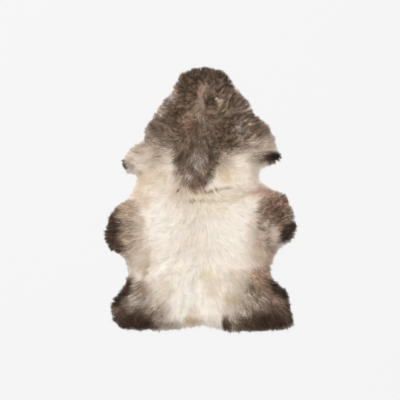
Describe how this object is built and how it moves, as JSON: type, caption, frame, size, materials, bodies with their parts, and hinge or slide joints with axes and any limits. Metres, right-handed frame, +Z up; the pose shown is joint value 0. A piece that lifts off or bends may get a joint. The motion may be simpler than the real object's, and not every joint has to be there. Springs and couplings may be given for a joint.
{
  "type": "sheepskin rug",
  "caption": "Natural-shape sheepskin rug lying flat, wool side up: dark curly neck and leg edges around a cream back, with foreleg tabs, flank lobes and a shallow tail notch.",
  "frame": {"origin": "on the flat underside, at the middle of the outline's bounding box", "axes": "+Z up through the wool, +Y along the spine towards the neck, +X towards the skin's right edge when seen from above with the neck up"},
  "size_m": [0.694, 0.958, 0.0519],
  "materials": {
    "wool": "matte"
  },
  "bodies": {
    "root": {"sheepskin": "wool"}
  },
  "joints": []
}
